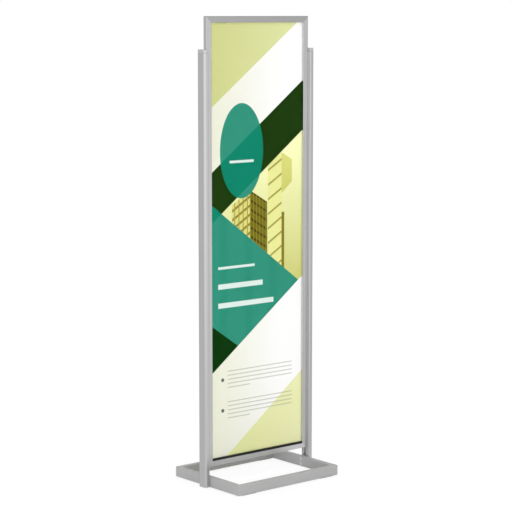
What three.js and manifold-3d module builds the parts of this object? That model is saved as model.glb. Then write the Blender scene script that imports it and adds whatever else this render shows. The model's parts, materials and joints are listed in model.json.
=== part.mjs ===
// A free-standing, double-sided poster stand: a slim aluminium slide-in frame carried between two
// posts, which are bolted to the sides of a flat ring-shaped foot of rectangular steel tube.
//
// Millimetres, +Z up. X runs along the frame, -Y is the front, and the origin is on the floor at the
// middle of the foot. Local drawing axes of every extruded section: x across the section, y through
// its depth, z along the bar.

import * as THREE from 'three';
import { mergeVertices } from 'three/addons/utils/BufferGeometryUtils.js';
import Module from 'manifold-3d';

const wasm = await Module();
wasm.setup();

// ---------------------------------------------------------------- driving dimensions
const TOTAL_HEIGHT = 1600;
const FRAME_WIDTH = 450; // outside width of the frame, and of the foot between the posts
const FRAME_BOTTOM = 70; // height of the frame's lower edge
const FRAME_DEPTH = 16;
const FRAME_FACE = 21.5; // width of the frame's bars, seen from the front
const FRAME_WALL = 1.4;
const POST_WIDTH = 20;
const POST_DEPTH = 38;
const POST_TOP = 1490;
const FOOT_DEPTH = 350;
const TUBE_HEIGHT = 35;
const TUBE_WIDTH = 20;
const TUBE_WALL = 1.5;
const TUBE_RADIUS = 2; // rounding of the foot tube's long edges
const PAD_THICKNESS = 1.5;
const SHEET_WIDTH = 420;
const POSTER_HEIGHT = 1500;
const CLEARANCE = 0.3; // gap beside anything that slides or is pushed in

// ---------------------------------------------------------------- sizes worked out from them
const HALF_WIDTH = FRAME_WIDTH / 2;
const HALF_FRAME_DEPTH = FRAME_DEPTH / 2;
const HALF_POST_DEPTH = POST_DEPTH / 2;
const FRAME_HEIGHT = TOTAL_HEIGHT - FRAME_BOTTOM;
const FRAME_MIDDLE = FRAME_BOTTOM + FRAME_HEIGHT / 2;
const TUBE_MIDDLE = PAD_THICKNESS + TUBE_HEIGHT / 2;

// The sheets between the frame's lips, counted outwards from the middle plane.
const PANEL_THICKNESS = 3;
const POSTER_THICKNESS = 0.4;
const COVER_THICKNESS = 1;
const POSTER_OFFSET = PANEL_THICKNESS / 2 + CLEARANCE + POSTER_THICKNESS / 2;
const COVER_OFFSET = POSTER_OFFSET + (POSTER_THICKNESS + COVER_THICKNESS) / 2 + CLEARANCE;
const LIP_OFFSET = COVER_OFFSET + COVER_THICKNESS / 2 + CLEARANCE;
const SHEET_EDGE = HALF_WIDTH - SHEET_WIDTH / 2; // distance of a sheet's edge from the frame's outside
const WEB_FAR = SHEET_EDGE - 2 * CLEARANCE; // the web that closes the sheet channel
const WEB_NEAR = WEB_FAR - FRAME_WALL;
const SHEET_BOTTOM = FRAME_BOTTOM + SHEET_EDGE;
const COVER_REBATE = 2; // how far the covers and the panel end below the top of the frame
const COVER_HEIGHT = TOTAL_HEIGHT - COVER_REBATE - SHEET_BOTTOM;
const MITRE_GAP = 0.1;

// The T-slot down the inner side of each post.
const SLOT_MOUTH = 8;
const SLOT_LIP = 2;
const SLOT_INSIDE = 14;
const SLOT_DEPTH = 8;
const POST_WALL = 1.8;
const POST_OUTER_RADIUS = 10;
const POST_INNER_RADIUS = 3;

const CAP_HEIGHT = 12;
const CAP_EDGE = 0.8;
const PLUG_FLANGE = 2;
const FOOT_BOLT_PITCH = 17;
const FRAME_SCREW_HEIGHTS = { lower: 240, middle: 830, upper: 1400 };
const ARC_STEPS = 8; // straight steps in a section's rounded corner
const EDGE_STEPS = 4; // steps in a rounded end edge
const ROUND = 20; // sides of a small round hole or shank
const PRESS = 0.15; // radial gap between a thread or plug and its hole

// ---------------------------------------------------------------- materials
function finish(color, roughness, metalness, extra = {}) {
  return new THREE.MeshStandardMaterial({ color, roughness, metalness, ...extra });
}

const ANODISED = finish(0xc3c2bf, 0.38, 0.9);
const POWDER_COAT = finish(0xb0b0b0, 0.5, 0.3);
const GREY_PLASTIC = finish(0xb4b4b2, 0.55, 0);
const ZINC_STEEL = finish(0xa9abad, 0.35, 1);
const CAST_ZINC = finish(0x9a9b9c, 0.6, 0.9);
const BLACK_RUBBER = finish(0x17180f, 0.8, 0);
const CLEAR_PLASTIC = finish(0xf4f7f4, 0.15, 0, { transparent: true, opacity: 0.25 });
const WHITE_BOARD = finish(0xf2f2ee, 0.6, 0);
const PRINT = finish(0xdfe0a6, 0.5, 0);

// ---------------------------------------------------------------- shapes and solids
// A closed outline. Each corner is [x, y] or [x, y, radius].
function outline(corners, PathClass = THREE.Shape) {
  const path = new PathClass();
  const count = corners.length;
  corners.forEach(([x, y, radius = 0], i) => {
    const corner = new THREE.Vector2(x, y);
    const before = new THREE.Vector2(...corners[(i + count - 1) % count]);
    const after = new THREE.Vector2(...corners[(i + 1) % count]);
    const start = corner.clone().add(before.sub(corner).setLength(radius));
    const end = corner.clone().add(after.sub(corner).setLength(radius));
    if (i === 0) {
      path.moveTo(start.x, start.y);
    } else {
      path.lineTo(start.x, start.y);
    }
    if (radius > 0) {
      path.quadraticCurveTo(corner.x, corner.y, end.x, end.y);
    }
  });
  path.closePath();
  return path;
}

function rectangle(width, height, radius = 0, PathClass = THREE.Shape) {
  const [x, y] = [width / 2, height / 2];
  return outline([[-x, -y, radius], [x, -y, radius], [x, y, radius], [-x, y, radius]], PathClass);
}

// A prism of the shape, from z = 0 up to length.
function prism(shape, length, curveSegments = ARC_STEPS) {
  return new THREE.ExtrudeGeometry(shape, { depth: length, bevelEnabled: false, curveSegments });
}

// A prism whose end edges are rounded by edge. The shape is drawn smaller by edge all round.
function softPrism(shape, length, edge) {
  const geometry = new THREE.ExtrudeGeometry(shape, {
    depth: length - 2 * edge,
    bevelThickness: edge,
    bevelSize: edge,
    bevelSegments: EDGE_STEPS,
    curveSegments: ARC_STEPS,
  });
  return geometry.translate(0, 0, edge);
}

function box(width, depth, height) {
  return new THREE.BoxGeometry(width, depth, height);
}

// A round bar along X, centred on the origin.
function rod(radius, length, sides = ROUND) {
  return new THREE.CylinderGeometry(radius, radius, length, sides).rotateZ(Math.PI / 2);
}

function toManifold(geometry) {
  const bare = geometry.clone();
  bare.deleteAttribute('normal');
  bare.deleteAttribute('uv');
  const closed = mergeVertices(bare, 1e-4);
  return new wasm.Manifold(new wasm.Mesh({
    numProp: 3,
    vertProperties: new Float32Array(closed.attributes.position.array),
    triVerts: new Uint32Array(closed.index.array),
  }));
}

function toGeometry(manifold) {
  const { vertProperties, triVerts } = manifold.getMesh();
  const geometry = new THREE.BufferGeometry();
  geometry.setAttribute('position', new THREE.BufferAttribute(vertProperties, 3));
  geometry.setIndex(new THREE.BufferAttribute(triVerts, 1));
  geometry.computeVertexNormals();
  return geometry;
}

function cut(geometry, ...tools) {
  return toGeometry(tools.reduce((body, tool) => body.subtract(toManifold(tool)), toManifold(geometry)));
}

function join(geometry, ...others) {
  return toGeometry(others.reduce((body, other) => body.add(toManifold(other)), toManifold(geometry)));
}

function keep(geometry, limits) {
  return toGeometry(toManifold(geometry).intersect(toManifold(limits)));
}

function piece(name, geometry, material, x = 0, y = 0, z = 0) {
  const mesh = new THREE.Mesh(geometry, material);
  mesh.name = name;
  mesh.position.set(x, y, z);
  return mesh;
}

// ---------------------------------------------------------------- the slide-in frame's bars
// Section: x = 0 is the frame's outside. A closed chamber holds the corner pieces and the screws,
// and the open channel beyond its web takes the sheets between two lips.
function frameSection() {
  const face = HALF_FRAME_DEPTH;
  const inside = face - FRAME_WALL;
  const lipStart = FRAME_FACE - FRAME_WALL;
  const outerRadius = 1.5;
  const edgeRadius = 0.6;
  const section = outline([
    [0, -face, outerRadius], [FRAME_FACE, -face, edgeRadius], [FRAME_FACE, -LIP_OFFSET],
    [lipStart, -LIP_OFFSET], [lipStart, -inside], [WEB_FAR, -inside],
    [WEB_FAR, inside], [lipStart, inside], [lipStart, LIP_OFFSET],
    [FRAME_FACE, LIP_OFFSET], [FRAME_FACE, face, edgeRadius], [0, face, outerRadius],
  ]);
  const chamberRadius = 1; // leaves a flat seat for the screw heads
  section.holes.push(outline([
    [FRAME_WALL, -inside, chamberRadius], [WEB_NEAR, -inside],
    [WEB_NEAR, inside], [FRAME_WALL, inside, chamberRadius],
  ], THREE.Path));
  return section;
}

// One bar of the frame, centred along z, with both ends mitred at 45 degrees.
function mitredBar(length) {
  const bar = prism(frameSection(), length).translate(0, 0, -length / 2);
  const half = length / 2 - MITRE_GAP;
  const reach = FRAME_FACE + 1;
  const limits = prism(outline([
    [-1, -half - 1], [reach, reach - half], [reach, half - reach], [-1, half + 1],
  ]), 2 * FRAME_DEPTH);
  limits.translate(0, 0, -FRAME_DEPTH).rotateX(Math.PI / 2);
  return keep(bar, limits);
}

// Radii of an M4 screw's parts and holes, and the lengths of its head and of its shank.
const SCREW = { shank: 2, shankHole: 2.2, head: 4, headHeight: 2.6, reach: 8, accessHole: 4.5, key: 1.25 };

// A stile has, at each screw, a hole through its outer wall and a wider one in the web for the driver.
function stile() {
  const holes = Object.values(FRAME_SCREW_HEIGHTS).flatMap((height) => [
    rod(SCREW.shankHole, 4 * FRAME_WALL).translate(0, 0, height - FRAME_MIDDLE),
    rod(SCREW.accessHole, 4 * FRAME_WALL).translate(WEB_NEAR, 0, height - FRAME_MIDDLE),
  ]);
  return cut(mitredBar(FRAME_HEIGHT), ...holes);
}

// The top rail's outer wall and web are milled through, so the sheets slide in from above.
function topRail() {
  const slotSide = 2.5;
  const slotDepth = 2 * (LIP_OFFSET + CLEARANCE);
  const slot = box(2 * (WEB_FAR + 1), slotDepth, SHEET_WIDTH + 2 * slotSide);
  return cut(mitredBar(FRAME_WIDTH), slot);
}

function frameRails() {
  const rails = new THREE.Group();
  const top = piece('top_rail', topRail(), ANODISED, 0, 0, TOTAL_HEIGHT);
  top.rotation.y = Math.PI / 2;
  const bottom = piece('bottom_rail', mitredBar(FRAME_WIDTH), ANODISED, 0, 0, FRAME_BOTTOM);
  bottom.rotation.y = -Math.PI / 2;
  rails.add(top, bottom);
  return rails;
}

// ---------------------------------------------------------------- corner pieces inside the frame
// An L that lies in both chambers of a corner, standing in the XZ plane, with y through its thickness.
function cornerL(legLength, thickness) {
  const near = FRAME_WALL + CLEARANCE;
  const far = WEB_NEAR - CLEARANCE;
  const end = near + legLength;
  const heelRadius = 2;
  const shape = outline([
    [near, near, heelRadius], [end, near], [end, far], [far, far], [far, end], [near, end],
  ]);
  return prism(shape, thickness).translate(0, 0, -thickness / 2).rotateX(Math.PI / 2);
}

// Solid cast keys below. Above, pairs of thin plates leave the slot between them free.
function corners() {
  const keyLeg = 32;
  const plateThickness = 1.2;
  const chamberSide = HALF_FRAME_DEPTH - FRAME_WALL - CLEARANCE;
  const plateOffset = chamberSide - plateThickness / 2;
  const group = new THREE.Group();
  for (const [side, sign] of [['left', -1], ['right', 1]]) {
    const x = sign * HALF_WIDTH;
    const key = cornerL(keyLeg, 2 * chamberSide);
    const lower = piece(`bottom_${side}_corner_key`, key, CAST_ZINC, x, 0, FRAME_BOTTOM);
    lower.rotation.z = sign > 0 ? Math.PI : 0;
    group.add(lower);
    for (const [face, y] of [['front', -plateOffset], ['rear', plateOffset]]) {
      const plate = cornerL(keyLeg, plateThickness);
      const upper = piece(`top_${side}_${face}_corner_plate`, plate, ZINC_STEEL, x, y, TOTAL_HEIGHT);
      if (sign > 0) {
        upper.rotation.y = Math.PI;
      } else {
        upper.rotation.x = Math.PI;
      }
      group.add(upper);
    }
  }
  return group;
}

// ---------------------------------------------------------------- sheets and edge beads
function sheets() {
  const group = new THREE.Group();
  const coverMiddle = SHEET_BOTTOM + COVER_HEIGHT / 2;
  const posterMiddle = SHEET_BOTTOM + POSTER_HEIGHT / 2;
  const panel = box(SHEET_WIDTH, PANEL_THICKNESS, COVER_HEIGHT);
  group.add(piece('backing_panel', panel, WHITE_BOARD, 0, 0, coverMiddle));
  for (const [face, sign] of [['front', -1], ['rear', 1]]) {
    const poster = box(SHEET_WIDTH, POSTER_THICKNESS, POSTER_HEIGHT);
    group.add(piece(`${face}_poster`, poster, PRINT, 0, sign * POSTER_OFFSET, posterMiddle));
    const cover = box(SHEET_WIDTH, COVER_THICKNESS, COVER_HEIGHT);
    group.add(piece(`${face}_cover`, cover, CLEAR_PLASTIC, 0, sign * COVER_OFFSET, coverMiddle));
  }
  return group;
}

// A black rubber bead sits over each lip of the bottom rail and closes the gap to the cover sheet.
function edgeBeads() {
  const lipTop = FRAME_BOTTOM + FRAME_FACE;
  const fit = 0.1;
  const skirt = 4.5; // how far the bead hangs down over the rail's face
  const rise = 3.5; // how far it stands above the lip
  const proud = 1;
  const [skirtRadius, topRadius] = [0.4, 1.2];
  const length = FRAME_WIDTH - 2 * FRAME_FACE - CLEARANCE;
  const group = new THREE.Group();
  for (const [face, sign] of [['front', -1], ['rear', 1]]) {
    const section = outline([
      [LIP_OFFSET, fit], [HALF_FRAME_DEPTH + fit, fit], [HALF_FRAME_DEPTH + fit, -skirt],
      [HALF_FRAME_DEPTH + proud, -skirt, skirtRadius], [HALF_FRAME_DEPTH + proud, rise, topRadius],
      [LIP_OFFSET, rise],
    ]);
    const bead = prism(section, length).translate(0, 0, -length / 2);
    bead.rotateX(Math.PI / 2).rotateZ(sign * Math.PI / 2);
    group.add(piece(`${face}_edge_bead`, bead, BLACK_RUBBER, 0, 0, lipTop));
  }
  return group;
}

// ---------------------------------------------------------------- posts, caps and foot plugs
// Section: x = 0 is the side that touches the frame, with the T-slot, and x grows outwards.
function postOutline(inset = 0) {
  const y = HALF_POST_DEPTH - inset;
  const [near, far] = [inset, POST_WIDTH - inset];
  const inner = POST_INNER_RADIUS - inset;
  const outer = POST_OUTER_RADIUS - inset;
  return [[near, -y, inner], [far, -y, outer], [far, y, outer], [near, y, inner]];
}

function postSection() {
  const mouth = SLOT_MOUTH / 2;
  const slot = SLOT_INSIDE / 2;
  const section = outline([
    ...postOutline(),
    [0, mouth], [SLOT_LIP, mouth], [SLOT_LIP, slot], [SLOT_DEPTH, slot],
    [SLOT_DEPTH, -slot], [SLOT_LIP, -slot], [SLOT_LIP, -mouth], [0, -mouth],
  ]);
  const side = HALF_POST_DEPTH - POST_WALL;
  const far = POST_WIDTH - POST_WALL;
  const radius = POST_OUTER_RADIUS - POST_WALL;
  const near = POST_WALL;
  const nearRadius = POST_INNER_RADIUS - POST_WALL;
  const slotWall = slot + POST_WALL;
  const slotBack = SLOT_DEPTH + POST_WALL;
  section.holes.push(outline([
    [near, -side, nearRadius], [far, -side, radius], [far, side, radius], [near, side, nearRadius],
    [near, slotWall], [slotBack, slotWall], [slotBack, -slotWall], [near, -slotWall],
  ], THREE.Path));
  return section;
}

// The tongue that holds a cap or a foot plug in the post's chamber, hanging below z = 0.
function plugTongue() {
  const near = SLOT_DEPTH + POST_WALL + CLEARANCE;
  const far = POST_WIDTH - POST_WALL - CLEARANCE;
  const length = 15;
  const overlap = 1;
  const tongue = box(far - near, SLOT_INSIDE, length + overlap);
  return tongue.translate((near + far) / 2, 0, (overlap - length) / 2);
}

function postCap() {
  const head = softPrism(outline(postOutline(CAP_EDGE)), CAP_HEIGHT, CAP_EDGE);
  return join(head, plugTongue());
}

function footPlug() {
  const flange = prism(outline(postOutline()), PLUG_FLANGE).translate(0, 0, -PLUG_FLANGE);
  return join(flange, plugTongue().rotateX(Math.PI));
}

// ---------------------------------------------------------------- fasteners
// A socket screw along X: its head bears at x = 0 and its shank runs outwards.
function socketScrew(size) {
  const head = rod(size.head, size.headHeight).translate(-size.headHeight / 2, 0, 0);
  const overlap = 0.5;
  const shank = rod(size.shank, size.reach + overlap).translate((size.reach - overlap) / 2, 0, 0);
  const keyDepth = size.headHeight * 0.6;
  const keySides = 6;
  const key = rod(size.key, 2 * keyDepth, keySides).translate(-size.headHeight, 0, 0);
  return cut(join(head, shank), key);
}

// A bar that slides in the post's T-slot, tapped at each of the given heights from its middle.
function slotNut(thickness, height, shank, holes) {
  const body = box(thickness, SLOT_INSIDE - 2 * CLEARANCE, height);
  const bores = holes.map((z) => rod(shank + PRESS, 2 * thickness).translate(0, 0, z));
  return cut(body, ...bores);
}

// The same sizes of an M6 bolt.
const FOOT_BOLT = { shank: 3, shankHole: 3.3, head: 5, headHeight: 6, reach: 9, accessHole: 6, key: 2.5 };
const FOOT_BOLT_HEIGHTS = { lower: -FOOT_BOLT_PITCH / 2, upper: FOOT_BOLT_PITCH / 2 };

// Snap plug that closes a bolt's access hole in the inner wall of the foot tube.
function holePlug() {
  const headThickness = 1.2;
  const barrelLength = 4;
  const overlap = 0.5;
  const head = rod(FOOT_BOLT.accessHole + 1, headThickness).translate(-headThickness / 2, 0, 0);
  const barrel = rod(FOOT_BOLT.accessHole - PRESS, barrelLength + overlap);
  return join(head, barrel.translate((barrelLength - overlap) / 2, 0, 0));
}

// ---------------------------------------------------------------- one side of the stand
// Drawn as the right-hand side, at x = HALF_WIDTH. The left side is the same group turned half round.
function sideAssembly(side) {
  const group = new THREE.Group();
  const extrusionBottom = PAD_THICKNESS + PLUG_FLANGE;
  const extrusionTop = POST_TOP - CAP_HEIGHT;
  const post = prism(postSection(), extrusionTop - extrusionBottom);
  group.add(piece(`${side}_post`, post, ANODISED, HALF_WIDTH, 0, extrusionBottom));
  group.add(piece(`${side}_post_cap`, postCap(), GREY_PLASTIC, HALF_WIDTH, 0, extrusionTop));
  group.add(piece(`${side}_post_foot_plug`, footPlug(), GREY_PLASTIC, HALF_WIDTH, 0, extrusionBottom));

  const bar = piece(`${side}_stile`, stile(), ANODISED, HALF_WIDTH, 0, FRAME_MIDDLE);
  bar.rotation.z = Math.PI;
  group.add(bar);
  const [nutThickness, nutHeight] = [4, 12];
  const nutX = HALF_WIDTH + SLOT_LIP + nutThickness / 2;
  for (const [level, height] of Object.entries(FRAME_SCREW_HEIGHTS)) {
    const screwX = HALF_WIDTH - FRAME_WALL;
    group.add(piece(`${side}_frame_screw_${level}`, socketScrew(SCREW), ZINC_STEEL, screwX, 0, height));
    const nut = slotNut(nutThickness, nutHeight, SCREW.shank, [0]);
    group.add(piece(`${side}_frame_nut_${level}`, nut, ZINC_STEEL, nutX, 0, height));
  }

  const [barThickness, barHeight] = [5, 30];
  const barX = HALF_WIDTH + SLOT_LIP + barThickness / 2;
  const nutBar = slotNut(barThickness, barHeight, FOOT_BOLT.shank, Object.values(FOOT_BOLT_HEIGHTS));
  group.add(piece(`${side}_foot_nut_bar`, nutBar, ZINC_STEEL, barX, 0, TUBE_MIDDLE));
  for (const [level, offset] of Object.entries(FOOT_BOLT_HEIGHTS)) {
    const height = TUBE_MIDDLE + offset;
    const bolt = socketScrew(FOOT_BOLT);
    group.add(piece(`${side}_foot_bolt_${level}`, bolt, ZINC_STEEL, HALF_WIDTH - TUBE_WALL, 0, height));
    const plugX = HALF_WIDTH - TUBE_WIDTH;
    group.add(piece(`${side}_hole_plug_${level}`, holePlug(), GREY_PLASTIC, plugX, 0, height));
  }
  group.rotation.z = side === 'left' ? Math.PI : 0;
  return group;
}

// ---------------------------------------------------------------- the ring-shaped foot
function ringShape(inset, cornerRadius = 0) {
  const ring = rectangle(FRAME_WIDTH - 2 * inset, FOOT_DEPTH - 2 * inset, cornerRadius);
  const opening = 2 * (TUBE_WIDTH - inset);
  ring.holes.push(rectangle(FRAME_WIDTH - opening, FOOT_DEPTH - opening, 0, THREE.Path));
  return ring;
}

// Four lengths of tube welded into one hollow ring, drilled for the bolts that hold the posts.
function footRing() {
  const groundCorner = 2; // the welded corners are ground round
  const skin = softPrism(ringShape(TUBE_RADIUS, groundCorner), TUBE_HEIGHT, TUBE_RADIUS);
  const hollow = prism(ringShape(TUBE_WALL), TUBE_HEIGHT - 2 * TUBE_WALL).translate(0, 0, TUBE_WALL);
  const holes = [-1, 1].flatMap((side) => Object.values(FOOT_BOLT_HEIGHTS).flatMap((offset) => {
    const height = TUBE_HEIGHT / 2 + offset;
    const boltHole = rod(FOOT_BOLT.shankHole, 4 * TUBE_WALL);
    const accessHole = rod(FOOT_BOLT.accessHole, 4 * TUBE_WALL);
    return [
      boltHole.translate(side * HALF_WIDTH, 0, height),
      accessHole.translate(side * (HALF_WIDTH - TUBE_WIDTH), 0, height),
    ];
  }));
  return cut(skin, hollow, ...holes);
}

function foot() {
  const group = new THREE.Group();
  group.add(piece('foot_ring', footRing(), POWDER_COAT, 0, 0, PAD_THICKNESS));
  const [padLength, padWidth, padInset, padRadius] = [60, TUBE_WIDTH - 3 * TUBE_RADIUS, 50, 3];
  for (const [face, ySign] of [['front', -1], ['rear', 1]]) {
    for (const [side, xSign] of [['left', -1], ['right', 1]]) {
      const pad = prism(rectangle(padLength, padWidth, padRadius), PAD_THICKNESS);
      const x = xSign * (HALF_WIDTH - padInset);
      const y = ySign * (FOOT_DEPTH - TUBE_WIDTH) / 2;
      group.add(piece(`${face}_${side}_floor_pad`, pad, BLACK_RUBBER, x, y, 0));
    }
  }
  return group;
}

// ---------------------------------------------------------------- the whole stand
const stand = new THREE.Group();
stand.add(foot(), sideAssembly('left'), sideAssembly('right'));
stand.add(frameRails(), corners(), edgeBeads(), sheets());

export default stand;
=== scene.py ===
"""Looks of a free-standing, double-sided poster stand: its materials, prints, mouldings, light and camera.

Metres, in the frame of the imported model: +Z up, X runs along the stand's frame, and -Y is its front.
"""

import json
import math

import bmesh
import bpy
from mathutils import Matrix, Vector

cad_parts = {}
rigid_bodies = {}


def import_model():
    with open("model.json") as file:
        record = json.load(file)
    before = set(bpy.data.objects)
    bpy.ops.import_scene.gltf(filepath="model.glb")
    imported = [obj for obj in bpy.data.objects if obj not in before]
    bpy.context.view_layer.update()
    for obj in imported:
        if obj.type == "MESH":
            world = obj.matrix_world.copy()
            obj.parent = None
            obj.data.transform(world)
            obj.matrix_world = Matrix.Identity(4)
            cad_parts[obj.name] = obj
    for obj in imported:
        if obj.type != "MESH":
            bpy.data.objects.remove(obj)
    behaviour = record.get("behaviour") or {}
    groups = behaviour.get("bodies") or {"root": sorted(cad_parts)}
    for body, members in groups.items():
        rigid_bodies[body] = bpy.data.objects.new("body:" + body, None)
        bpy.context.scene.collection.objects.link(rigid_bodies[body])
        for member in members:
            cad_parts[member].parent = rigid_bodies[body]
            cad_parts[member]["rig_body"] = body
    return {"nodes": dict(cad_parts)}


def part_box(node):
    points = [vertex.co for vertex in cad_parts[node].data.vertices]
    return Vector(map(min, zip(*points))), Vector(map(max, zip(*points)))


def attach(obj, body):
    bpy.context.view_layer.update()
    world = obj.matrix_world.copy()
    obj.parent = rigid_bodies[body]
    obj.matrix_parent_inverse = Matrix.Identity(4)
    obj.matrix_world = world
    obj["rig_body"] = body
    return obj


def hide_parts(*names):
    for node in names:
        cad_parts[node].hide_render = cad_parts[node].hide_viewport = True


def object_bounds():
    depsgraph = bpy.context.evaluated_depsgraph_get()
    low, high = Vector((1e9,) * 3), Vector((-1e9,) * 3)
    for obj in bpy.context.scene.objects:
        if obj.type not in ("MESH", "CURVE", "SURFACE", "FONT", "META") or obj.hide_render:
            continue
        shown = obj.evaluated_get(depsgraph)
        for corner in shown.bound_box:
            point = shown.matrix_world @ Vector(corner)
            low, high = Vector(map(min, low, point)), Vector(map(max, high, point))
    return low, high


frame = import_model()
cad_low, cad_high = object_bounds()

MM = 0.001
X_AXIS = 0
Z_AXIS = 2
SIDES = ("left", "right")
FACES = ("front", "rear")
PLUG_LEVELS = ("lower", "upper")

# ---------------------------------------------------------------- sizes of the fine shapes
POST_INNER_RADIUS = 3 * MM
POST_OUTER_RADIUS = 10 * MM
CORNER_STEPS = 10  # short straight steps that make up a rounded corner
CAP_SEAM_DEPTH = 0.8 * MM
CAP_SEAM_HEIGHT = 0.9 * MM
CAP_TOP_RADIUS = 1.6 * MM
CAP_TOP_STEP = 2.4 * MM  # from the end of that rounding to the flat middle of the cap
CAP_ARC_STEPS = 6
CAP_SMALLEST_RADII = (0.3 * MM, 0.6 * MM)  # of a cap's inner and outer corners, where its skin is inset
TONGUE_NEAR = 10.1 * MM  # distances of the tongue's sides from the post's inner face
TONGUE_FAR = 17.9 * MM
TONGUE_HALF_DEPTH = 7 * MM
TONGUE_RADIUS = 0.8 * MM  # of its corners, and how far its end tapers in
PLUG_SIDES = 48
PLUG_DOME_STEPS = 8
PLUG_HEAD = 1.2 * MM  # how far a plug's head stands out of the tube's wall
PLUG_DOME = 0.8  # share of that height that is domed
PLUG_SHOULDER = 1.15 * MM  # how far the head reaches past the barrel
PLUG_WALL = 1.3 * MM
PLUG_TAPER = (0.6 * MM, 1.2 * MM)  # how far the barrel's end narrows, and over which length
SHEET_CORNER = 4 * MM
POSTER_EDGE = 0.08 * MM  # softening of a sheet's cut edges
COVER_EDGE = 0.15 * MM
SHARP_ANGLE = math.radians(35)  # an edge that turns by more is rounded, or shaded sharp on a made mesh
FLAT_ANGLE = math.radians(0.5)  # facets of a CAD solid that turn by less are joined
MERGE_DISTANCE = 0.004 * MM
ROUNDING_STEPS = 3
EDGE_ROUNDING = 0.3 * MM
TUBE_ROUNDING = 0.7 * MM
FASTENER_ROUNDING = 0.12 * MM

# ---------------------------------------------------------------- light levels
WORLD_LIGHT = (0.87, 2.00)  # light on matt surfaces, from the horizon and from straight above
WORLD_GLOW = (1.02, 0.60)  # what shiny surfaces see to the bright and to the dim side
CEILING = 0.48  # the share of that glow that is left straight above
FLOOR_GLOW = (0.98, 0.60)  # what shiny surfaces see of the far floor, to the same two sides
FLOOR_NEAR = 0.70  # its bright side close to the stand
FLOOR_FADE = 9.0  # metres from the one to the other
FLOOR_WHITE = 0.84  # keeps the floor almost white to the camera
FLOOR_SHADE = 0.13  # how much of the light and the contact shadow it shows on top of that
KEY_POWER = 60.0
KEY_SIZE = 2.4
KEY_PLACE = (-3.2, -3.6, 1.2)

# ---------------------------------------------------------------- camera
CAMERA_AZIMUTH = math.radians(-39.86)
CAMERA_ELEVATION = math.radians(7.71)
CAMERA_DISTANCE = 6.199
CAMERA_AIM = (-4.1 * MM, 0.0, -20.9 * MM)  # the place it looks at, from the middle of the stand
CAMERA_LENS = 126.3  # this and the sensor width are in millimetres
CAMERA_SENSOR = 36.0

# ---------------------------------------------------------------- places taken from the frame
VISIBLE_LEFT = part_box("left_stile")[1].x
VISIBLE_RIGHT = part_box("right_stile")[0].x
VISIBLE_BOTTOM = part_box("bottom_rail")[1].z
VISIBLE_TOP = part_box("top_rail")[0].z
VISIBLE_WIDTH = VISIBLE_RIGHT - VISIBLE_LEFT
VISIBLE_HEIGHT = VISIBLE_TOP - VISIBLE_BOTTOM


# ---------------------------------------------------------------- shader graphs
def linear(level):
    """One channel of a screen colour, 0 to 255, as linear light, by the sRGB curve."""
    share = level / 255
    if share <= 0.04045:
        return share / 12.92
    return ((share + 0.055) / 1.055) ** 2.4


def tone(red, green, blue, share=1.0):
    """A screen colour as the linear RGBA that shaders take, dimmed to a share of its light."""
    return (linear(red) * share, linear(green) * share, linear(blue) * share, 1.0)


def grey(level):
    """A neutral of that linear brightness."""
    return (level, level, level, 1.0)


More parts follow.
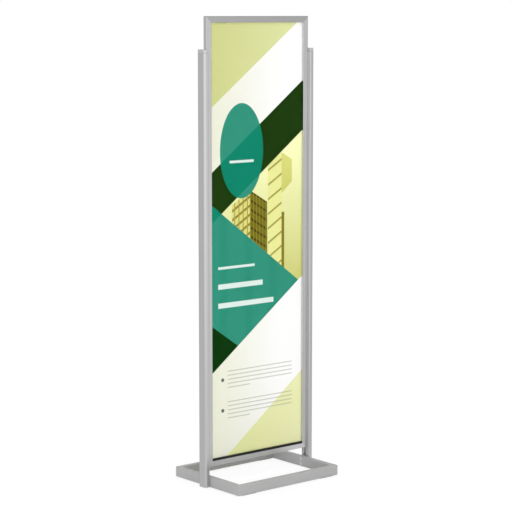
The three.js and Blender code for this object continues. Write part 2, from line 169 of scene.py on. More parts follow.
class Graph:
    """The nodes of one material, or of the world, and short calls that add linked nodes to them."""

    def __init__(self, name, world=False):
        self.owner = (bpy.data.worlds if world else bpy.data.materials).new(name)
        self.owner.use_nodes = True
        self.tree = self.owner.node_tree
        self.tree.nodes.clear()
        self.place = self.node("ShaderNodeTexCoord").outputs["Generated" if world else "Object"]

    def connect(self, socket, value):
        if isinstance(value, bpy.types.NodeSocket):
            self.tree.links.new(value, socket)
        else:
            socket.default_value = value

    def node(self, kind, inputs=None, **settings):
        made = self.tree.nodes.new(kind)
        for name, value in settings.items():
            setattr(made, name, value)
        for name, value in (inputs or {}).items():
            self.connect(made.inputs[name], value)
        return made

    def math(self, operation, *values, clamp=False):
        made = self.node("ShaderNodeMath", operation=operation, use_clamp=clamp)
        for socket, value in zip(made.inputs, values):
            self.connect(socket, value)
        return made.outputs[0]

    def mix(self, factor, first, second):
        """Colour that goes from first to second as factor goes from 0 to 1."""
        made = self.node("ShaderNodeMix", data_type="RGBA")
        for index, value in ((0, factor), (6, first), (7, second)):
            self.connect(made.inputs[index], value)
        return made.outputs[2]

    def ramp(self, value, low, high):
        """A number that goes from low to high as value goes from 0 to 1."""
        return self.math("MULTIPLY_ADD", value, high - low, low)

    def ease(self, value, start, end):
        """A number that goes smoothly from end[0] to end[1] as value goes from start[0] to start[1]."""
        return self.node("ShaderNodeMapRange", {
            "Value": value, "From Min": start[0], "From Max": start[1], "To Min": end[0], "To Max": end[1],
        }, interpolation_type="SMOOTHSTEP").outputs[0]

    def dim(self, colour, share):
        """The colour times a number."""
        return self.node("ShaderNodeVectorMath", {0: colour, "Scale": share}, operation="SCALE").outputs[0]

    def noise(self, pitch, detail=2.0, rough=0.5):
        """Soft noise from 0 to 1 whose features are pitch metres apart; pitch may differ along X, Y and Z."""
        pitches = pitch if isinstance(pitch, tuple) else (pitch,) * 3
        scale = tuple(1 / size for size in pitches)
        placed = self.node("ShaderNodeMapping", {"Vector": self.place, "Scale": scale}).outputs[0]
        made = self.node("ShaderNodeTexNoise", {"Vector": placed, "Scale": 1.0, "Detail": detail})
        made.inputs["Roughness"].default_value = rough
        return made.outputs["Fac"]

    def cells(self, pitch):
        """A random grey from 0 to 1 for each cell about pitch metres across."""
        made = self.node("ShaderNodeTexVoronoi", {"Vector": self.place, "Scale": 1 / pitch})
        split = self.node("ShaderNodeSeparateColor", {"Color": made.outputs["Color"]})
        return split.outputs[0]

    def bump(self, height, depth, normal=None):
        """A normal bent by height, 0 to 1, of a relief that is depth metres deep."""
        made = self.node("ShaderNodeBump", {"Height": height, "Distance": depth, "Strength": 1.0})
        if normal is not None:
            self.connect(made.inputs["Normal"], normal)
        return made.outputs["Normal"]

    def surface(self, **inputs):
        """Ends the graph in a principled surface. Input names use _ for a space."""
        named = {name.replace("_", " "): value for name, value in inputs.items()}
        self.finish(self.node("ShaderNodeBsdfPrincipled", named).outputs[0])
        return self.owner

    def finish(self, shader, output="ShaderNodeOutputMaterial"):
        self.node(output, {"Surface": shader})


# ---------------------------------------------------------------- metals and coatings
TOP_RAIL_PAINTED_SHADE = 0.78  # painted shade and light: each rail's aluminium as a share of the posts', darkened on the top rail and lightened on the bottom rail for the dimmer and brighter reflections they get
BOTTOM_RAIL_PAINTED_LIGHT = 1.2


def stretched(width, length, along):
    """The pitch of a noise that is drawn out along one axis."""
    pitch = [width] * 3
    pitch[along] = length
    return tuple(pitch)


def aluminium(name, along, share=1.0):
    """Drawn, satin-anodised aluminium with die lines along X_AXIS or Z_AXIS; share scales its tone, which on
    the rails is painted shade (top) and painted light (bottom).
    """
    graph = Graph(name)
    lines = graph.noise(stretched(0.35 * MM, 90 * MM, along), detail=3.0, rough=0.6)
    streaks = graph.noise(stretched(2.6 * MM, 450 * MM, along))
    etch = graph.noise(0.12 * MM)
    cloud = graph.noise(130 * MM)
    colour = graph.mix(cloud, grey(0.70 * share), grey(0.745 * share))
    colour = graph.mix(graph.ramp(lines, 0.0, 0.20), colour, grey(0.58 * share))
    colour = graph.dim(colour, graph.ramp(streaks, 0.95, 1.05))
    roughness = graph.math("ADD", graph.ramp(lines, 0.20, 0.27), graph.ramp(streaks, -0.03, 0.04))
    relief = graph.bump(lines, 0.012 * MM, graph.bump(etch, 0.003 * MM))
    line_direction = [0.0, 0.0, 0.0]
    line_direction[along] = 1.0
    quarter_turn = 0.25
    return graph.surface(
        Base_Color=colour, Metallic=1.0, Roughness=roughness, Normal=relief,
        Anisotropic=0.4, Anisotropic_Rotation=quarter_turn, Tangent=tuple(line_direction),
    )


def powder_coat():
    """Silver-grey powder coat with a slight orange peel and fine metallic flakes."""
    graph = Graph("silver_powder_coat")
    peel = graph.noise(2.2 * MM, detail=1.0)
    flakes = graph.cells(0.35 * MM)
    cloud = graph.noise(90 * MM)
    colour = graph.mix(cloud, grey(0.33), grey(0.36))
    colour = graph.mix(graph.ramp(flakes, 0.0, 0.22), colour, grey(0.50))
    roughness = graph.ramp(flakes, 0.38, 0.50)
    relief = graph.bump(peel, 0.09 * MM)
    return graph.surface(
        Base_Color=colour, Metallic=0.06, Specular_IOR_Level=0.25, Roughness=roughness, Normal=relief,
    )


def zinc_plate():
    """Bright zinc plating, with the faint yellow and blue of its passivation."""
    graph = Graph("zinc_plate")
    patches = graph.noise(6 * MM, detail=3.0)
    colour = graph.mix(patches, tone(214, 216, 206), tone(196, 204, 222))
    roughness = graph.ramp(graph.noise(0.8 * MM), 0.22, 0.40)
    relief = graph.bump(graph.noise(0.3 * MM), 0.01 * MM)
    return graph.surface(Base_Color=colour, Metallic=1.0, Roughness=roughness, Normal=relief)


def cast_zinc():
    """Unpolished die-cast zinc, dull and slightly grainy."""
    graph = Graph("die_cast_zinc")
    flow = graph.noise((3 * MM, 3 * MM, 12 * MM), detail=4.0)
    colour = graph.mix(flow, grey(0.30), grey(0.42))
    roughness = graph.ramp(flow, 0.48, 0.66)
    relief = graph.bump(graph.noise(0.5 * MM), 0.03 * MM)
    return graph.surface(Base_Color=colour, Metallic=1.0, Roughness=roughness, Normal=relief)


# ---------------------------------------------------------------- plastics, rubber and board
def moulded_plastic():
    """Grey moulded plastic: a fine spark-eroded grain with faint flow marks."""
    graph = Graph("plug_plastic")
    flow = graph.noise((18 * MM, 6 * MM, 6 * MM), detail=3.0)
    grain = graph.noise(0.45 * MM, detail=2.0)
    colour = graph.mix(flow, grey(0.40), grey(0.46))
    roughness = graph.ramp(grain, 0.42, 0.60)
    relief = graph.bump(grain, 0.03 * MM)
    return graph.surface(Base_Color=colour, Roughness=roughness, Normal=relief)


def silver_lacquer():
    """Moulded plastic under a satin silver lacquer, matched to the posts."""
    graph = Graph("silver_lacquered_plastic")
    cloud = graph.noise(14 * MM, detail=3.0)
    flakes = graph.cells(0.25 * MM)
    grain = graph.noise(0.4 * MM)
    colour = graph.mix(cloud, grey(0.64), grey(0.70))
    colour = graph.mix(graph.ramp(flakes, 0.0, 0.18), colour, grey(0.82))
    roughness = graph.ramp(grain, 0.34, 0.44)
    relief = graph.bump(grain, 0.012 * MM)
    return graph.surface(Base_Color=colour, Metallic=0.85, Roughness=roughness, Normal=relief)


def black_rubber(name):
    """Soft black rubber, a little dusty where it is roughest."""
    graph = Graph(name)
    dust = graph.noise(4 * MM, detail=4.0)
    grain = graph.noise(0.4 * MM)
    colour = graph.mix(dust, tone(20, 22, 20), tone(38, 39, 36))
    roughness = graph.ramp(dust, 0.55, 0.78)
    relief = graph.bump(grain, 0.04 * MM)
    return graph.surface(Base_Color=colour, Roughness=roughness, Specular_IOR_Level=0.25, Normal=relief)


def foam_board():
    """Off-white paper-faced foam board, with paper fibres on a faintly pitted core."""
    graph = Graph("foam_board")
    fibres = graph.noise((1.2 * MM, 0.4 * MM, 0.5 * MM), detail=3.0)
    colour = graph.mix(fibres, grey(0.60), grey(0.68))
    relief = graph.bump(fibres, 0.03 * MM)
    return graph.surface(Base_Color=colour, Roughness=0.75, Normal=relief)


def clear_sheet():
    """Clear low-glare plastic film, with a soft sheen that grows at a glancing angle and darker cut edges."""
    graph = Graph("clear_low_glare_plastic")
    grain = graph.noise(0.6 * MM)
    sheen_roughness = graph.ramp(graph.noise(40 * MM), 0.16, 0.24)
    relief = graph.bump(grain, 0.006 * MM)
    normal = graph.node("ShaderNodeNewGeometry").outputs["Normal"]
    split = graph.node("ShaderNodeSeparateXYZ", {"Vector": normal})
    cut_edge, face = 0.3, 0.9  # how much of the normal lies along Y
    along_y = graph.math("ABSOLUTE", split.outputs["Y"])
    broad_face = graph.ease(along_y, (cut_edge, face), (0.0, 1.0))
    tint = graph.mix(broad_face, tone(168, 190, 184), grey(0.98))
    clear = graph.node("ShaderNodeBsdfTransparent", {"Color": tint})
    sheen = graph.node("ShaderNodeBsdfGlossy", {"Roughness": sheen_roughness, "Normal": relief})
    low_glare_ior = 1.09
    mirror = graph.node("ShaderNodeFresnel", {"IOR": low_glare_ior}).outputs[0]
    mixed = graph.node("ShaderNodeMixShader", {"Fac": mirror})
    graph.connect(mixed.inputs[1], clear.outputs[0])
    graph.connect(mixed.inputs[2], sheen.outputs[0])
    graph.finish(mixed.outputs[0])
    return graph.owner


# ---------------------------------------------------------------- the printed design
PAPER = 0.95  # share of the light that bare paper returns
PRINT_EDGE = 0.4 * MM  # softness of a printed edge
DIAGONAL = 0.204  # rise of the design's slanting edges across the sheet, as a share of its height

# Where the edges of the design's fields meet the sheet's left edge, as shares of its height
CORNER_FIELD = 0.808
BAND = (0.545, 0.661)
WEDGE = (0.199, 0.591)  # its upper edge falls to the right
FOLD_TOP = 0.312
FOLD_SLOPE = -0.19
FOOT_FIELD = -0.033
FOOT_SLOPE = 0.209

# Middle and half size of the disc, as shares of the sheet's width and height
DISC_MIDDLE = (0.33, 0.709)
DISC_HALF_SIZE = (0.233, 0.109)

# Left, right, lower and upper edge of each plain bar, as shares of the sheet's width and height
BARS = (
    (0.20, 0.46, 0.682, 0.688),
    (0.075, 0.47, 0.440, 0.446),
    (0.075, 0.56, 0.394, 0.406),
    (0.075, 0.68, 0.350, 0.362),
)
PARAGRAPH_TOPS = (0.206, 0.134)
ROOF_SLOPE = 0.16  # of the blocks' roofs and storeys


class Design(Graph):
    """A print whose places are shares of the visible sheet: u from its left to its right, v upwards."""

    def __init__(self, name, mirrored):
        super().__init__(name)
        split = self.node("ShaderNodeSeparateXYZ", {"Vector": self.place})
        across = split.outputs["X"]
        start = VISIBLE_RIGHT if mirrored else VISIBLE_LEFT
        width = -VISIBLE_WIDTH if mirrored else VISIBLE_WIDTH
        self.u = self.math("MULTIPLY_ADD", across, 1 / width, -start / width)
        up = split.outputs["Z"]
        self.v = self.math("MULTIPLY_ADD", up, 1 / VISIBLE_HEIGHT, -VISIBLE_BOTTOM / VISIBLE_HEIGHT)

    def cover(self, distance, size):
        """How much a shape covers a point that lies distance * size metres inside its edge."""
        return self.math("MULTIPLY_ADD", distance, size / PRINT_EDGE, 0.5, clamp=True)

    def above(self, start, slope):
        """The part above the line that leaves the left edge at start and rises by slope."""
        line = self.math("MULTIPLY_ADD", self.u, slope, start)
        return self.cover(self.math("SUBTRACT", self.v, line), VISIBLE_HEIGHT)

    def between(self, value, low, high, size):
        """The part where value, whose unit is size metres, lies from low to high."""
        middle = (low + high) / 2
        away = self.math("ABSOLUTE", self.math("SUBTRACT", value, middle))
        return self.cover(self.math("SUBTRACT", (high - low) / 2, away), size)

    def columns(self, left, right):
        return self.between(self.u, left, right, VISIBLE_WIDTH)

    def rows(self, low, high):
        return self.between(self.v, low, high, VISIBLE_HEIGHT)

    def stripes(self, value, pitch, share, size):
        """Stripes across value, one each pitch, that fill share of it."""
        phase = self.math("FRACT", self.math("DIVIDE", value, pitch))
        away = self.math("ABSOLUTE", self.math("SUBTRACT", phase, 0.5))
        return self.cover(self.math("SUBTRACT", share / 2, away), pitch * size)

    def both(self, *shapes):
        whole = shapes[0]
        for shape in shapes[1:]:
            whole = self.math("MULTIPLY", whole, shape)
        return whole

    def outside(self, shape):
        return self.math("SUBTRACT", 1.0, shape)

    def bar(self, left, right, low, high):
        return self.both(self.columns(left, right), self.rows(low, high))

    def disc(self, u, v, half_width, half_height):
        across = self.math("DIVIDE", self.math("SUBTRACT", self.u, u), half_width)
        up = self.math("DIVIDE", self.math("SUBTRACT", self.v, v), half_height)
        squares = self.math("ADD", self.math("MULTIPLY", across, across), self.math("MULTIPLY", up, up))
        inside = self.math("SUBTRACT", 1.0, self.math("SQRT", squares))
        return self.cover(inside, half_width * VISIBLE_WIDTH)

    def fade(self, value, low, high, first, second):
        """Colour that goes from first to second as value goes from low to high."""
        share = self.math("MULTIPLY_ADD", value, 1 / (high - low), -low / (high - low), clamp=True)
        return self.mix(share, first, second)


def ink(red, green, blue):
    """A printed colour, as it looks under even light."""
    return tone(red, green, blue, PAPER)


def block(design, colour, left, corner, right, top, wall, shade):
    """A plain block seen at its corner, over colour: a lit wall on the left and a shaded one on the right."""
    below_left_roof = design.outside(design.above(top - ROOF_SLOPE * corner, ROOF_SLOPE))
    below_right_roof = design.outside(design.above(top + ROOF_SLOPE * corner, -ROOF_SLOPE))
    lit = design.both(design.columns(left, corner), below_left_roof)
    shaded = design.both(design.columns(corner, right), below_right_roof)
    colour = design.mix(lit, colour, wall)
    return design.mix(shaded, colour, shade)


def windows(design, up, storey, bay, wall, glass, pillar):
    """A wall's colour, with a band of glass in each storey and a pillar at each bay.

    storey and bay are (pitch, share that the band or the pillar fills), and up is the height that a
    storey keeps along the wall.
    """
    storeys = design.stripes(up, *storey, VISIBLE_HEIGHT)
    pillars = design.stripes(design.u, *bay, VISIBLE_WIDTH)
    return design.mix(pillars, design.mix(storeys, wall, glass), pillar)


def skyline(design):
    """Two plain blocks of flats against a pale evening sky."""
    sky_low, sky_high = 0.38, 0.70
    sky = design.fade(design.v, sky_low, sky_high, ink(207, 208, 120), ink(251, 254, 196))
    low_left, low_corner, low_right, low_top = 0.225, 0.42, 0.608, 0.617
    tall_left, tall_corner, tall_top = 0.618, 0.77, 0.700
    slant = design.math("MULTIPLY", design.u, ROOF_SLOPE)
    rising = design.math("SUBTRACT", design.v, slant)
    falling = design.math("ADD", design.v, slant)

    low_storey, tall_storey = 0.021, 0.034
    low_wall = windows(
        design, rising, storey=(low_storey, 0.30), bay=(0.046, 0.22),
        wall=ink(226, 222, 132), glass=ink(150, 138, 52), pillar=ink(170, 158, 70),
    )
    low_shade = windows(
        design, falling, storey=(low_storey, 0.28), bay=(0.034, 0.20),
        wall=ink(124, 116, 22), glass=ink(84, 72, 6), pillar=ink(152, 144, 60),
    )
    seam_share = 0.16
    seams = design.stripes(rising, tall_storey, seam_share, VISIBLE_HEIGHT)
    tall_wall = design.mix(seams, ink(238, 238, 158), ink(172, 168, 84))
    shade_low, shade_high = 0.54, 0.68
    tall_shade = design.fade(design.v, shade_low, shade_high, ink(196, 198, 98), ink(222, 222, 128))

    colour = block(design, sky, low_left, low_corner, low_right, low_top, low_wall, low_shade)
    colour = block(design, colour, tall_left, tall_corner, tall_corner, tall_top, tall_wall, tall_shade)
    wing_right, wing_bottom = 0.885, 0.555
    wing_slope = 1.4 * ROOF_SLOPE
    wing = design.both(
        design.columns(tall_corner, wing_right),
        design.outside(design.above(tall_top + ROOF_SLOPE * tall_corner, -ROOF_SLOPE)),
        design.above(wing_bottom - ROOF_SLOPE * tall_corner, wing_slope),
    )
    colour = design.mix(wing, colour, tall_shade)
    stem_right, stem_top = 0.80, 0.56
    stem = design.both(design.columns(tall_corner, stem_right), design.outside(design.above(stem_top, 0.0)))
    return design.mix(stem, colour, ink(138, 126, 38))


def text_rules(design, top):
    """A paragraph of five thin rules, the last one short, and a round marker beside it."""
    pitch = 0.0095
    count = 5
    left, right, short = 0.175, 0.89, 0.42
    line_share = 0.24
    lines = design.stripes(design.math("SUBTRACT", design.v, top), pitch, line_share, VISIBLE_HEIGHT)
    full = design.bar(left, right, top - (count - 1) * pitch, top)
    last = design.bar(left, short, top - count * pitch, top - (count - 1) * pitch)
    rules = design.both(lines, design.math("MAXIMUM", full, last))
    marker_radius = 6.5 * MM
    marker_across = 0.12
    marker_up = top - count * pitch / 2
    marker = design.disc(
        marker_across, marker_up, marker_radius / VISIBLE_WIDTH, marker_radius / VISIBLE_HEIGHT,
    )
    return rules, marker


def print_material(face):
    """A generic printed design in olive, dark green and teal, without lettering."""
    design = Design(f"{face}_print", mirrored=face == "rear")
    band_bottom, band_top = BAND
    wedge_bottom, wedge_top = WEDGE
    band = design.both(design.above(band_bottom, DIAGONAL), design.outside(design.above(band_top, DIAGONAL)))
    teal = design.mix(band, ink(50, 151, 126), ink(2, 136, 108))

    # the pale field, the corner field and the foot field grow darker and yellower towards u = 0
    colour = design.fade(design.u, 0.0, 0.75, ink(236, 237, 216), ink(254, 254, 253))
    corner = design.fade(design.u, 0.0, 0.9, ink(209, 213, 143), ink(226, 230, 170))
    colour = design.mix(design.above(CORNER_FIELD, DIAGONAL), colour, corner)
    picture = design.both(
        design.above(wedge_top, -DIAGONAL), design.above(wedge_bottom, DIAGONAL),
        design.outside(design.above(band_bottom, DIAGONAL)),
    )
    colour = design.mix(picture, colour, skyline(design))
    colour = design.mix(band, colour, ink(24, 60, 0))

    wedge = design.both(
        design.outside(design.above(wedge_top, -DIAGONAL)), design.above(wedge_bottom, DIAGONAL),
    )
    panel_width, panel_share, panel_strength = 0.27, 0.30, 0.35
    panels = design.stripes(design.u, panel_width, panel_share, VISIBLE_WIDTH)
    panels = design.math("MULTIPLY", panels, panel_strength)
    wedge_colour = design.mix(panels, teal, ink(34, 142, 116))
    colour = design.mix(wedge, colour, wedge_colour)
    fold = design.both(wedge, design.outside(design.above(FOLD_TOP, FOLD_SLOPE)))
    colour = design.mix(fold, colour, ink(0, 56, 0))
    colour = design.mix(design.disc(*DISC_MIDDLE, *DISC_HALF_SIZE), colour, teal)
    foot = design.fade(design.u, 0.2, 1.0, ink(229, 233, 166), ink(240, 241, 190))
    colour = design.mix(design.outside(design.above(FOOT_FIELD, FOOT_SLOPE)), colour, foot)

    light_ink = ink(226, 240, 234)
    rule_strength = 0.6
    for bar in BARS:
        colour = design.mix(design.bar(*bar), colour, light_ink)
    for top in PARAGRAPH_TOPS:
        rules, marker = text_rules(design, top)
        colour = design.mix(design.math("MULTIPLY", rules, rule_strength), colour, ink(160, 164, 152))
        colour = design.mix(marker, colour, ink(96, 108, 96))

    fibres = design.noise((0.5 * MM, 0.5 * MM, 0.9 * MM), detail=3.0)
    colour = design.dim(colour, design.ramp(fibres, 0.96, 1.02))
    relief = design.bump(fibres, 0.01 * MM)
    return design.surface(
        Base_Color=colour, Roughness=design.ramp(fibres, 0.45, 0.6), Specular_IOR_Level=0.06, Normal=relief,
    )


# ---------------------------------------------------------------- mesh building
def mesh_object(name, bm, material, body):
    """Turns bm into a piece that rides on body and is smooth except at its sharp edges."""
    bmesh.ops.recalc_face_normals(bm, faces=bm.faces)
    mesh = bpy.data.meshes.new(name)
    bm.to_mesh(mesh)
    bm.free()
    mesh.shade_smooth()
    mesh.set_sharp_from_angle(angle=SHARP_ANGLE)
    mesh.materials.append(material)
    made = bpy.data.objects.new(name, mesh)
    bpy.context.scene.collection.objects.link(made)
    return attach(made, body)


def body_of(node):
    return frame["nodes"][node]["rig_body"]


def slot_of(node):
    return frame["nodes"][node].material_slots[0].material.name


def stand_in(name, node, bm, material):
    """Makes bm the shown piece for a CAD node, on the node's own body."""
    made = mesh_object(name, bm, material, body_of(node))
    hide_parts(node)
    return made


def round_corners(corners):
    """Points of a convex outline whose corners are (x, y, radius), with a quadratic curve at each corner."""
    points = []
    count = len(corners)
    for i, (x, y, radius) in enumerate(corners):
        corner = Vector((x, y))
        before = (Vector(corners[i - 1][:2]) - corner).normalized() * radius
        after = (Vector(corners[(i + 1) % count][:2]) - corner).normalized() * radius
        for step in range(CORNER_STEPS + 1):
            share = step / CORNER_STEPS
            points.append(corner + before * (1 - share) ** 2 + after * share ** 2)
    return points


def stack_rings(bm, rings):
    """Joins rings of equally many points into one skin and closes both ends."""
    loops = [[bm.verts.new(point) for point in ring] for ring in rings]
    for lower, upper in zip(loops, loops[1:]):
        for i in range(len(lower)):
            j = (i + 1) % len(lower)
            bm.faces.new((lower[i], lower[j], upper[j], upper[i]))
    bm.faces.new(loops[0][::-1])
    bm.faces.new(loops[-1])


# ---------------------------------------------------------------- caps, plugs and sheets
def cap_levels(base, top):
    """Inset and height of each ring of a cap's skin, from the shadow seam up over its rounded edge."""
    full_width = base + 1.4 * CAP_SEAM_HEIGHT
    levels = [
        (CAP_SEAM_DEPTH, base),
        (CAP_SEAM_DEPTH, base + CAP_SEAM_HEIGHT / 2),
        (CAP_SEAM_DEPTH / 4, base + CAP_SEAM_HEIGHT),
        (0.0, full_width),
    ]
    for step in range(CAP_ARC_STEPS + 1):
        turn = math.pi / 2 * step / CAP_ARC_STEPS
        inset = CAP_TOP_RADIUS * (1 - math.cos(turn))
        levels.append((inset, top - CAP_TOP_RADIUS * (1 - math.sin(turn))))
    levels.append((CAP_TOP_RADIUS + CAP_TOP_STEP, top))
    return levels


def post_cap(side, material):
    """Moulded cap: a soft-edged head over the post's end, with its tongue in the post's chamber."""
    node = f"{side}_post_cap"
    low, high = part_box(node)
    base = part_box(f"{side}_post")[1].z
    half_depth = (high.y - low.y) / 2
    outer, inner = (low.x, high.x) if side == "left" else (high.x, low.x)
    way = 1 if outer > inner else -1
    bm = bmesh.new()
    rings = []
    for inset, height in cap_levels(base, high.z):
        near, far = inner + way * inset, outer - way * inset
        y = half_depth - inset
        inner_radius = max(POST_INNER_RADIUS - inset, CAP_SMALLEST_RADII[0])
        outer_radius = max(POST_OUTER_RADIUS - inset, CAP_SMALLEST_RADII[1])
        outline = round_corners([
            (near, -y, inner_radius), (far, -y, outer_radius),
            (far, y, outer_radius), (near, y, inner_radius),
        ])
        rings.append([(point.x, point.y, height) for point in outline])
    stack_rings(bm, rings)
    tongue(bm, inner, way, low.z, base + CAP_SEAM_HEIGHT)
    return stand_in(f"{side}_cap_moulding", node, bm, material)


def tongue(bm, inner, way, bottom, top):
    """The tongue below a cap, in the post's chamber, tapered at its end so that it can be pushed in."""
    taper_end = bottom + 2 * TONGUE_RADIUS
    rings = []
    for inset, height in ((TONGUE_RADIUS, bottom), (0.0, taper_end), (0.0, top)):
        near = inner + way * (TONGUE_NEAR + inset)
        far = inner + way * (TONGUE_FAR - inset)
        y = TONGUE_HALF_DEPTH - inset
        outline = round_corners([
            (near, -y, TONGUE_RADIUS), (far, -y, TONGUE_RADIUS),
            (far, y, TONGUE_RADIUS), (near, y, TONGUE_RADIUS),
        ])
        rings.append([(point.x, point.y, height) for point in outline])
    stack_rings(bm, rings)


def hole_plug(side, level, material):
    """Snap plug: a low domed head on the tube's inner wall and a hollow, tapered barrel behind it."""
    node = f"{side}_hole_plug_{level}"
    low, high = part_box(node)
    middle_y, middle_z = (low.y + high.y) / 2, (low.z + high.z) / 2
    face, way = (high.x, -1) if side == "left" else (low.x, 1)
    depth = high.x - low.x
    head_radius = (high.y - low.y) / 2
    barrel_radius = head_radius - PLUG_SHOULDER
    bore_radius = barrel_radius - PLUG_WALL
    bore_end = 1.5 * PLUG_HEAD
    narrowing, taper_length = PLUG_TAPER
    profile = []
    for step in range(1, PLUG_DOME_STEPS + 1):
        turn = math.pi / 2 * step / PLUG_DOME_STEPS
        profile.append((PLUG_DOME * PLUG_HEAD * (1 - math.cos(turn)), head_radius * math.sin(turn)))
    profile += [
        (PLUG_HEAD, head_radius), (PLUG_HEAD, barrel_radius), (depth - taper_length, barrel_radius),
        (depth, barrel_radius - narrowing), (depth, bore_radius), (bore_end, bore_radius),
    ]
    rings = []
    for along, radius in profile:
        ring = []
        for i in range(PLUG_SIDES):
            turn = 2 * math.pi * i / PLUG_SIDES
            y = middle_y + radius * math.cos(turn)
            z = middle_z + radius * math.sin(turn)
            ring.append((face + way * along, y, z))
        rings.append(ring)
    bm = bmesh.new()
    stack_rings(bm, rings)
    return stand_in(f"{side}_snap_plug_{level}", node, bm, material)


def sheet(name, node, material, edge):
    """A thin sheet with rounded corners and softened edges, in the place of a CAD sheet."""
    low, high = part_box(node)
    bm = bmesh.new()
    rings = []
    for inset, y in ((edge, low.y), (0.0, low.y + edge), (0.0, high.y - edge), (edge, high.y)):
        radius = SHEET_CORNER - inset
        left, right, bottom, top = low.x + inset, high.x - inset, low.z + inset, high.z - inset
        outline = round_corners([
            (left, bottom, radius), (right, bottom, radius), (right, top, radius), (left, top, radius),
        ])
        rings.append([(point.x, y, point.y) for point in outline])
    stack_rings(bm, rings)
    return stand_in(name, node, bm, material)


# ---------------------------------------------------------------- CAD solids that stay
def cleaning_group():
    """Geometry nodes that join a CAD solid's split faces and shade it smooth."""
    group = bpy.data.node_groups.new("join_and_smooth", "GeometryNodeTree")
    for way in ("INPUT", "OUTPUT"):
        group.interface.new_socket("Geometry", in_out=way, socket_type="NodeSocketGeometry")
    start = group.nodes.new("NodeGroupInput")
    merge = group.nodes.new("GeometryNodeMergeByDistance")
    merge.inputs["Distance"].default_value = MERGE_DISTANCE
    smooth = group.nodes.new("GeometryNodeSetShadeSmooth")
    end = group.nodes.new("NodeGroupOutput")
    group.links.new(start.outputs[0], merge.inputs["Geometry"])
    group.links.new(merge.outputs[0], smooth.inputs[0])
    group.links.new(smooth.outputs[0], end.inputs[0])
    return group


def soften(node, group, width):
    """Rounds a CAD solid's hard edges by modifiers, so that its own mesh stays as packed."""
    join = node.modifiers.new("join", "NODES")
    join.node_group = group
    flats = node.modifiers.new("flats", "DECIMATE")
    flats.decimate_type = "DISSOLVE"
    flats.angle_limit = FLAT_ANGLE
    rounding = node.modifiers.new("edges", "BEVEL")
    rounding.width = width
    rounding.segments = ROUNDING_STEPS
    rounding.limit_method = "ANGLE"
    rounding.angle_limit = SHARP_ANGLE
    rounding.use_clamp_overlap = False
    normals = node.modifiers.new("normals", "WEIGHTED_NORMAL")
    normals.keep_sharp = True


def edge_width(name):
    """How far the rounding of a node's hard edges reaches: most on the thick-walled steel tube."""
    if any(word in name for word in ("_screw_", "_bolt_", "_nut_")):
        return FASTENER_ROUNDING
    if name == "foot_ring":
        return TUBE_ROUNDING
    return EDGE_ROUNDING


def finish_cad_nodes(materials):
    """Gives each CAD node that still shows its material and its softened edges."""
    group = cleaning_group()
    for name, node in frame["nodes"].items():
        if node.hide_render:
            continue
        slot = slot_of(name)
        node.material_slots[0].material = materials[name if name.endswith("_rail") else slot]
        soften(node, group, edge_width(name))


# ---------------------------------------------------------------- floor, light and camera
def studio_glow(graph, bright, dim):
    """How bright the studio looks to a shiny surface in the direction of graph.place.

    It is bright in front of the stand and a little to the left, and dimmer elsewhere.
    """
    bright_side = (-0.34, -0.94, 0.0)
    dim_from, bright_from = 0.40, 0.70  # cosines of the angle to the bright side
    toward = graph.node("ShaderNodeVectorMath", {0: graph.place}, operation="NORMALIZE").outputs[0]
    facing = graph.node("ShaderNodeVectorMath", {0: toward, 1: bright_side}, operation="DOT_PRODUCT")
    return graph.ease(facing.outputs["Value"], (dim_from, bright_from), (dim, bright))


def floor():
    """A plain pale floor. The camera sees it almost white, with a soft contact shadow."""
    radius = 300.0
    mottle = 0.4  # pitch of its slight unevenness
    graph = Graph("pale_floor")
    path = graph.node("ShaderNodeLightPath")
    paint = graph.mix(graph.noise(mottle), grey(0.86), grey(0.88))
    lit = graph.node("ShaderNodeBsdfDiffuse", {"Color": paint}).outputs[0]
    white = graph.node("ShaderNodeEmission", {"Strength": FLOOR_WHITE}).outputs[0]
    shade = graph.node("ShaderNodeBsdfDiffuse", {"Color": grey(FLOOR_SHADE)}).outputs[0]
    seen = graph.node("ShaderNodeAddShader", {0: shade, 1: white}).outputs[0]
    away = graph.node("ShaderNodeVectorMath", {0: graph.place}, operation="LENGTH").outputs["Value"]
    far_bright, dim = FLOOR_GLOW
    bright = graph.ease(away, (0.0, FLOOR_FADE), (FLOOR_NEAR, far_bright))
    glow = studio_glow(graph, bright, dim)
    shine = graph.node("ShaderNodeEmission", {"Strength": glow}).outputs[0]
    to_metal = graph.node("ShaderNodeMixShader", {0: path.outputs["Is Glossy Ray"], 1: lit, 2: shine})
    to_camera = graph.node("ShaderNodeMixShader", {
        0: path.outputs["Is Camera Ray"], 1: to_metal.outputs[0], 2: seen,
    })
    graph.finish(to_camera.outputs[0])
    bm = bmesh.new()
    bmesh.ops.create_circle(bm, cap_ends=True, segments=64, radius=radius)
    mesh = bpy.data.meshes.new("studio_floor")
    bm.to_mesh(mesh)
    bm.free()
    mesh.materials.append(graph.owner)
    made = bpy.data.objects.new("studio_floor", mesh)
    made.location.z = cad_low.z
    bpy.context.scene.collection.objects.link(made)


def studio_world():
    """A white studio that lights everything evenly and gives shiny surfaces a brighter and a dimmer side."""
    graph = Graph("studio", world=True)
    path = graph.node("ShaderNodeLightPath")
    rise = graph.node("ShaderNodeSeparateXYZ", {0: graph.place}).outputs["Z"]
    glow_rise, light_rise = (0.05, 0.9), (0.5, 1.0)  # sines of the heights where each one changes
    ceiling = graph.ease(rise, glow_rise, (1.0, CEILING))
    glow = graph.math("MULTIPLY", studio_glow(graph, *WORLD_GLOW), ceiling)
    even = graph.ease(rise, light_rise, WORLD_LIGHT)
    light = graph.node("ShaderNodeMix", {0: path.outputs["Is Glossy Ray"], 2: even, 3: glow}).outputs[0]
    strength = graph.node("ShaderNodeMix", {0: path.outputs["Is Camera Ray"], 2: light, 3: 1.0}).outputs[0]
    background = graph.node("ShaderNodeBackground", {"Color": grey(1.0), "Strength": strength})
    graph.finish(background.outputs[0], "ShaderNodeOutputWorld")
    bpy.context.scene.world = graph.owner


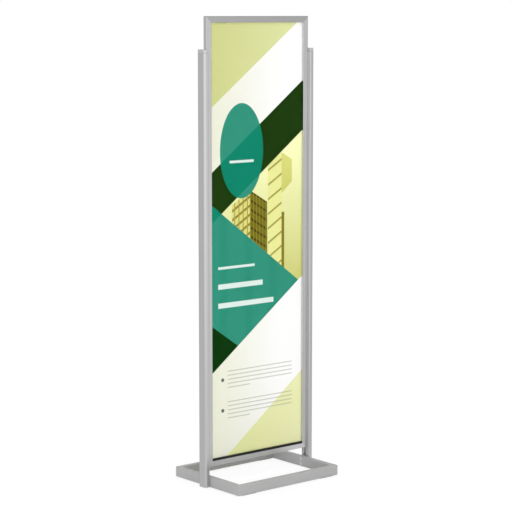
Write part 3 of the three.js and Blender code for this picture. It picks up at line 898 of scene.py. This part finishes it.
def key_lamp(aim):
    """A large square lamp at the front left that faces aim. The camera and shiny surfaces don't see it."""
    lamp = bpy.data.lights.new("key", "AREA")
    lamp.size = KEY_SIZE
    lamp.energy = KEY_POWER
    made = bpy.data.objects.new("key", lamp)
    made.location = KEY_PLACE
    made.rotation_euler = (aim - Vector(KEY_PLACE)).to_track_quat("-Z", "Y").to_euler()
    made.visible_camera = False
    made.visible_glossy = False
    bpy.context.scene.collection.objects.link(made)


def camera(centre):
    """The camera stands to the front left of the stand, about as high as its top, and looks slightly down."""
    aim = centre + Vector(CAMERA_AIM)
    level = math.cos(CAMERA_ELEVATION)
    back = Vector((
        math.sin(CAMERA_AZIMUTH) * level, -math.cos(CAMERA_AZIMUTH) * level, math.sin(CAMERA_ELEVATION),
    ))
    data = bpy.data.cameras.new("camera")
    data.sensor_width = CAMERA_SENSOR
    data.lens = CAMERA_LENS
    made = bpy.data.objects.new("camera", data)
    made.location = aim + back * CAMERA_DISTANCE
    made.rotation_euler = (-back).to_track_quat("-Z", "Y").to_euler()
    bpy.context.scene.collection.objects.link(made)
    bpy.context.scene.camera = made


# ---------------------------------------------------------------- the whole scene
def build_object():
    cap_finish = silver_lacquer()
    plug_plastic = moulded_plastic()
    clear = clear_sheet()
    for side in SIDES:
        post_cap(side, cap_finish)
        for level in PLUG_LEVELS:
            hole_plug(side, level, plug_plastic)
    for face in FACES:
        sheet(f"{face}_poster_print", f"{face}_poster", print_material(face), POSTER_EDGE)
        sheet(f"{face}_clear_cover", f"{face}_cover", clear, COVER_EDGE)
    finish_cad_nodes({
        "post_aluminium": aluminium("post_aluminium_drawn", Z_AXIS),
        "frame_aluminium": aluminium("stile_aluminium_drawn", Z_AXIS),
        # the rails' aluminium is dimmed on the top rail (painted shade) and brightened on the bottom rail
        # (painted light)
        "top_rail": aluminium("top_rail_aluminium_painted_shade", X_AXIS, TOP_RAIL_PAINTED_SHADE),
        "bottom_rail": aluminium("bottom_rail_aluminium_painted_light", X_AXIS, BOTTOM_RAIL_PAINTED_LIGHT),
        "foot_coating": powder_coat(),
        "foot_plug": plug_plastic,
        "zinc_steel": zinc_plate(),
        "cast_zinc": cast_zinc(),
        "edge_bead": black_rubber("edge_bead_rubber"),
        "floor_pad": black_rubber("floor_pad_rubber"),
        "backing_panel": foam_board(),
    })


build_object()
centre = (cad_low + cad_high) / 2
floor()
studio_world()
key_lamp(centre)
camera(centre)
bpy.context.scene.view_settings.view_transform = "Standard"
